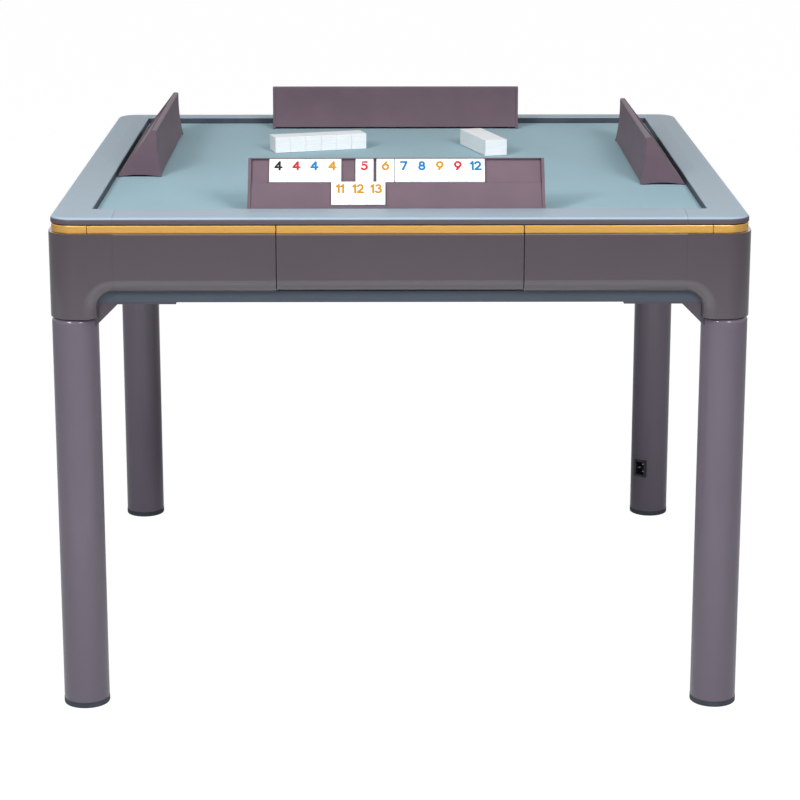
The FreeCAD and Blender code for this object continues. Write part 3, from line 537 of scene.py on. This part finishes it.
set_bump(felt, felt_fibre.outputs["Fac"], strength=0.5, depth=0.0006)
felt_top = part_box("playing_felt")[1].z
felt_thickness = 0.0014
felt_clearance = 0.0002
felt_half = strip_half - strip_thickness - felt_clearance
felt_cells = 96
felt_edge_drop = 0.0006
felt_ripple = 0.00012
felt_waves = ((23.0, 5.0), (-7.0, 17.0))
felt_smooth_angle = math.radians(40.0)
bpy.ops.object.select_all(action="DESELECT")
bpy.ops.mesh.primitive_grid_add(x_subdivisions=felt_cells, y_subdivisions=felt_cells, size=2.0 * felt_half)
felt_sheet = bpy.context.object
felt_sheet.name = "felt_sheet"
felt_edge_line = felt_half - felt_half / felt_cells
for vertex in felt_sheet.data.vertices:
    x, y, _ = vertex.co
    ripple = felt_ripple * math.prod(math.sin(across * x + along * y) for across, along in felt_waves)
    at_edge = max(abs(x), abs(y)) > felt_edge_line
    vertex.co.z = felt_top - felt_ripple + ripple - (felt_edge_drop if at_edge else 0.0)
felt_body = felt_sheet.modifiers.new("body", "SOLIDIFY")
felt_body.thickness = felt_thickness
felt_body.offset = -1.0
apply_modifiers(felt_sheet)
bpy.ops.object.shade_smooth_by_angle(angle=felt_smooth_angle)
felt_sheet.data.materials.append(felt)
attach(felt_sheet, "table")
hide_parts("playing_felt")


# ---- Racks ----
# Each rack is a moulded sloping profile with two steps for tiles and a cap at each end.  The
# parts are moulded apart and clipped together, so a fine seam shows beside each cap.
rack_plastic = new_material("rack_plastic", roughness=0.5, Specular_IOR_Level=0.2)
rack_drift = add_pattern(rack_plastic, "ShaderNodeTexNoise", Scale=22.0, Detail=4.0)
rack_dark, rack_pale = tones(srgb(106, 88, 98), spread=0.05)
set_colour(rack_plastic, blend_tones(rack_plastic, rack_drift.outputs["Fac"], rack_dark, rack_pale))
rack_grain = add_pattern(rack_plastic, "ShaderNodeTexNoise", Scale=1300.0, Detail=2.0)
set_bump(rack_plastic, rack_grain.outputs["Fac"], strength=0.12, depth=0.0003)
rack_cap_thickness = 0.0045
rack_edge = 0.0005
merge_distance = 0.00001
flat_angle = math.radians(1.0)
soft_angle = math.radians(35.0)


def copy_of_node(name, copy_name):
    """A copy of a piece of the frame, to be worked on in its place."""
    copy = bpy.data.objects.new(copy_name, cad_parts[name].data.copy())
    copy.data.materials.clear()
    bpy.context.scene.collection.objects.link(copy)
    return copy


def soften(piece, width, segments=2):
    """Merge the triangles into flat faces, then round every sharp edge and keep the faces flat."""
    pick(piece)
    bpy.ops.mesh.customdata_custom_splitnormals_clear()
    bpy.ops.object.mode_set(mode="EDIT")
    bpy.ops.mesh.select_all(action="SELECT")
    bpy.ops.mesh.remove_doubles(threshold=merge_distance)
    bpy.ops.mesh.dissolve_limited(angle_limit=flat_angle)
    bpy.ops.object.mode_set(mode="OBJECT")
    bpy.ops.object.shade_smooth_by_angle(angle=soft_angle)
    edge = piece.modifiers.new("edge", "BEVEL")
    edge.limit_method = "ANGLE"
    edge.angle_limit = soft_angle
    edge.width = width
    edge.segments = segments
    edge.harden_normals = True
    edge.use_clamp_overlap = False
    apply_modifiers(piece)


def join(parts, name):
    """One piece with this name from several."""
    bpy.ops.object.select_all(action="DESELECT")
    for part in parts:
        part.select_set(True)
    bpy.context.view_layer.objects.active = parts[0]
    bpy.ops.object.join()
    parts[0].name = name
    return parts[0]


def cut_caps(shell, along, low, high):
    """Cut both end caps off a rack's shell, with the faces on which they meet the profile."""
    middle = (low[along] + high[along]) / 2.0
    cap_line = (high[along] - low[along]) / 2.0 - rack_cap_thickness

    def in_cap(face):
        distance = face.center[along] - middle
        at_line = abs(distance) > cap_line - merge_distance
        faces_middle = face.normal[along] * distance < -facing_limit * abs(distance)
        return abs(distance) > cap_line + merge_distance or (at_line and faces_middle)

    select_faces(shell, in_cap)
    bpy.ops.object.mode_set(mode="EDIT")
    bpy.ops.mesh.separate(type="SELECTED")
    bpy.ops.object.mode_set(mode="OBJECT")
    return [piece for piece in bpy.context.selected_objects if piece != shell][0]


for side in sides:
    along = 0 if side in ("front", "rear") else 1
    profile = copy_of_node("rack_" + side, "rack_profile_" + side)
    caps = cut_caps(profile, along, *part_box("rack_" + side))
    soften(profile, rack_edge)
    soften(caps, rack_edge)
    rack = join([profile, caps], "rack_shell_" + side)
    rack.data.materials.clear()
    rack.data.materials.append(rack_plastic)
    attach(rack, "rack_" + side)
    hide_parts("rack_" + side)


# ---- Gold trim ----
# Anodised aluminium strips in the groove between apron and rim, brushed along their length,
# with rounded edges that catch the light; each drawer front carries a strip of its own.
gold = new_material("gold_anodised", roughness=0.28, metallic=0.86)
gold_brush = add_pattern(gold, "ShaderNodeTexNoise", stretch=(1.0, 1.0, 40.0), Scale=45.0, Detail=5.0)
gold_dark, gold_pale = tones(srgb(252, 194, 104), spread=0.012)
set_colour(gold, blend_tones(gold, gold_brush.outputs["Fac"], gold_dark, gold_pale))
set_roughness(gold, gold_brush.outputs["Fac"], low=0.25, high=0.32)
set_bump(gold, gold_brush.outputs["Fac"], strength=0.006, depth=0.0002)
trim_edge = 0.0010
trim_bodies = {"gold_trim": "table"}
for side in sides:
    trim_bodies["drawer_trim_" + side] = "drawer_" + side
for name, body in trim_bodies.items():
    strips = copy_of_node(name, name.replace("trim", "strips"))
    soften(strips, trim_edge, segments=3)
    strips.data.materials.append(gold)
    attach(strips, body)
    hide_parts(name)


# ---- Tiles ----
# White melamine tiles, moulded with rounded corners and softened edges and buffed to a soft
# sheen; they lie in rows on the front rack and in stacks of five on the felt.
tile_white = new_material("tile_melamine", roughness=0.4, Subsurface_Weight=0.05, Subsurface_Scale=0.002,
                          Specular_IOR_Level=0.3)
tile_drift = add_pattern(tile_white, "ShaderNodeTexNoise", Scale=40.0, Detail=3.0)
tile_dark, tile_pale = tones((0.94, 0.945, 0.955), spread=0.01)
set_colour(tile_white, blend_tones(tile_white, tile_drift.outputs["Fac"], tile_dark, tile_pale))
set_roughness(tile_white, tile_drift.outputs["Fac"], low=0.36, high=0.46)
tile_edge = 0.00065
for name in ("tiles_upper_row", "tiles_lower_row", "tile_stack_left", "tile_stack_right"):
    tiles = copy_of_node(name, name.replace("tile", "soft_tile"))
    soften(tiles, tile_edge)
    tiles.data.materials.append(tile_white)
    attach(tiles, name)
    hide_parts(name)


# ---- Tile numbers ----
# Plain rounded numbers, printed in black, red, blue and yellow in the upper half of each tile
# face; the ink lies a tenth of a millimetre proud.
tile_width = 0.0263
tile_length = 0.0380
tile_thickness = 0.0052
tile_pitch = 0.0265
rack_face_rise = 0.0740
rack_face_run = 0.0560
rack_lean = math.atan2(rack_face_rise, rack_face_run)
number_height = 0.0122
number_width = 0.0090
number_stroke = 0.0034
number_space = 0.0024
number_top = 0.0056
ink_proud = 0.0001
cap_turns = (30.0, 55.0, 78.0)
ink_tones = {"black": srgb(20, 22, 27), "red": srgb(190, 32, 44), "blue": srgb(0, 118, 172),
             "yellow": srgb(196, 138, 8)}

# Groups of tiles that touch: where the first one starts on X, then the number and ink of each.
upper_numbers = ((-0.1918, (("4", "black"), ("4", "red"), ("4", "blue"), ("4", "yellow"))),
                 (-0.0650, (("5", "red"),)),
                 (-0.0342, (("6", "yellow"),)),
                 (-0.0071, (("7", "blue"), ("8", "blue"), ("9", "yellow"), ("9", "red"), ("12", "blue"))))
lower_numbers = ((-0.1005, (("11", "yellow"), ("12", "yellow"), ("13", "yellow"))),)


def bow(centre, reach, start, end, steps=14):
    """Points of an elliptic arc; angles in degrees, counted from the right."""
    points = []
    for step in range(steps + 1):
        angle = math.radians(start + (end - start) * step / steps)
        points.append((centre[0] + reach[0] * math.cos(angle), centre[1] + reach[1] * math.sin(angle)))
    return points


# Strokes of each number, in a box one wide and one high that is measured from its low left corner.
strokes = {
    "1": [[(0.02, 0.78), (0.36, 1.0)], [(0.36, 1.0), (0.36, 0.0)]],
    "2": [bow((0.44, 0.69), (0.40, 0.31), 165, -38) + [(0.06, 0.0)], [(0.06, 0.0), (0.92, 0.0)]],
    "3": [bow((0.44, 0.76), (0.36, 0.24), 150, -90) + bow((0.44, 0.27), (0.44, 0.27), 86, -150)],
    "4": [[(0.72, 0.0), (0.72, 1.0)], [(0.72, 1.0), (0.0, 0.30)], [(0.0, 0.30), (1.04, 0.30)]],
    "5": [[(0.86, 1.0), (0.22, 1.0), (0.14, 0.54)] + bow((0.44, 0.33), (0.44, 0.33), 128, -148)],
    "6": [[(0.66, 1.0), (0.14, 0.52)], bow((0.50, 0.34), (0.45, 0.34), 0, 360, 24)],
    "7": [[(0.04, 1.0), (0.94, 1.0)], [(0.94, 1.0), (0.36, 0.0)]],
    "8": [bow((0.50, 0.75), (0.34, 0.25), 0, 360, 22), bow((0.50, 0.27), (0.43, 0.27), 0, 360, 24)],
    "9": [[(0.34, 0.0), (0.86, 0.48)], bow((0.50, 0.66), (0.45, 0.34), 0, 360, 24)],
}
digit_widths = {"1": 0.46}


def round_end(points, outer, radius):
    """Extra points past an end of a stroke, each thinner, so that the stroke ends in a half circle."""
    end, inner = Vector(points[outer]), Vector(points[1 if outer == 0 else -2])
    onward = (end - inner).normalized()
    extra = []
    for turn in cap_turns:
        angle = math.radians(turn)
        extra.append((end + onward * radius * math.sin(angle), math.cos(angle)))
    return extra


def add_stroke(curve, points, left):
    """One stroke of a number as a poly line, with its low left corner at left, 0."""
    placed = [(left + x * number_width, y * number_height) for x, y in points]
    closed = (Vector(placed[0]) - Vector(placed[-1])).length < merge_distance
    rows = [(Vector(place), 1.0) for place in (placed[:-1] if closed else placed)]
    if not closed:
        radius = number_stroke / 2.0
        rows = list(reversed(round_end(placed, 0, radius))) + rows + round_end(placed, -1, radius)
    spline = curve.splines.new("POLY")
    spline.points.add(len(rows) - 1)
    spline.use_cyclic_u = closed
    for point, (place, thickness) in zip(spline.points, rows):
        point.co = (place.x, place.y, 0.0, 1.0)
        point.radius = thickness


def add_number(text, start, row_box):
    """A number as a mesh on the tile face whose foot starts at start."""
    curve = bpy.data.curves.new("number", "CURVE")
    curve.dimensions = "3D"
    curve.bevel_depth = number_stroke / 2.0
    curve.bevel_resolution = 2
    reach = [digit_widths.get(digit, 1.0) * number_width for digit in text]
    left = (tile_width - sum(reach) - number_space * (len(text) - 1)) / 2.0
    for digit, width in zip(text, reach):
        for points in strokes[digit]:
            add_stroke(curve, points, left)
        left += width + number_space
    number = bpy.data.objects.new("number", curve)
    bpy.context.scene.collection.objects.link(number)
    pick(number)
    bpy.ops.object.convert(target="MESH")
    number = bpy.context.object
    foot = Vector((start, row_box[0].y + tile_thickness * math.sin(rack_lean), row_box[0].z))
    flatten = Matrix.Diagonal((1.0, 1.0, 2.0 * ink_proud / number_stroke, 1.0))
    on_tile = Matrix.Translation((0.0, tile_length - number_top - number_height, tile_thickness))
    number.data.transform(Matrix.Translation(foot) @ Matrix.Rotation(rack_lean, 4, "X") @ on_tile @ flatten)
    return number


def make_ink(ink):
    """Matt printing ink with a slightly uneven cover."""
    material = new_material("ink_" + ink, roughness=0.5, Specular_IOR_Level=0.2)
    cover = add_pattern(material, "ShaderNodeTexNoise", Scale=900.0, Detail=3.0)
    dark, pale = tones(ink_tones[ink], spread=0.05)
    set_colour(material, blend_tones(material, cover.outputs["Fac"], dark, pale))
    return material


inks = {ink: make_ink(ink) for ink in ink_tones}
for row, groups in (("tiles_upper_row", upper_numbers), ("tiles_lower_row", lower_numbers)):
    printed = {}
    for start, tiles_there in groups:
        for index, (text, ink) in enumerate(tiles_there):
            number = add_number(text, start + index * tile_pitch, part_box(row))
            printed.setdefault(ink, []).append(number)
    for ink, numbers in printed.items():
        printing = join(numbers, row.replace("tiles", "numbers") + "_" + ink)
        pick(printing)
        bpy.ops.object.shade_smooth()
        printing.data.materials.clear()
        printing.data.materials.append(inks[ink])
        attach(printing, row)


# ---- Mains inlet ----
# A black moulded socket with three plated pins, clipped into a cut-out of the rear right leg
# near the floor; the mains cord plugs in here.
inlet_plastic = new_material("inlet_plastic", roughness=0.4)
inlet_grain = add_pattern(inlet_plastic, "ShaderNodeTexNoise", Scale=1200.0, Detail=3.0)
inlet_dark, inlet_pale = tones(srgb(30, 30, 33), spread=0.15)
set_colour(inlet_plastic, blend_tones(inlet_plastic, inlet_grain.outputs["Fac"], inlet_dark, inlet_pale))
set_bump(inlet_plastic, inlet_grain.outputs["Fac"], strength=0.15, depth=0.0002)
dress("mains_inlet", inlet_plastic)
dress("inlet_pins", steel)
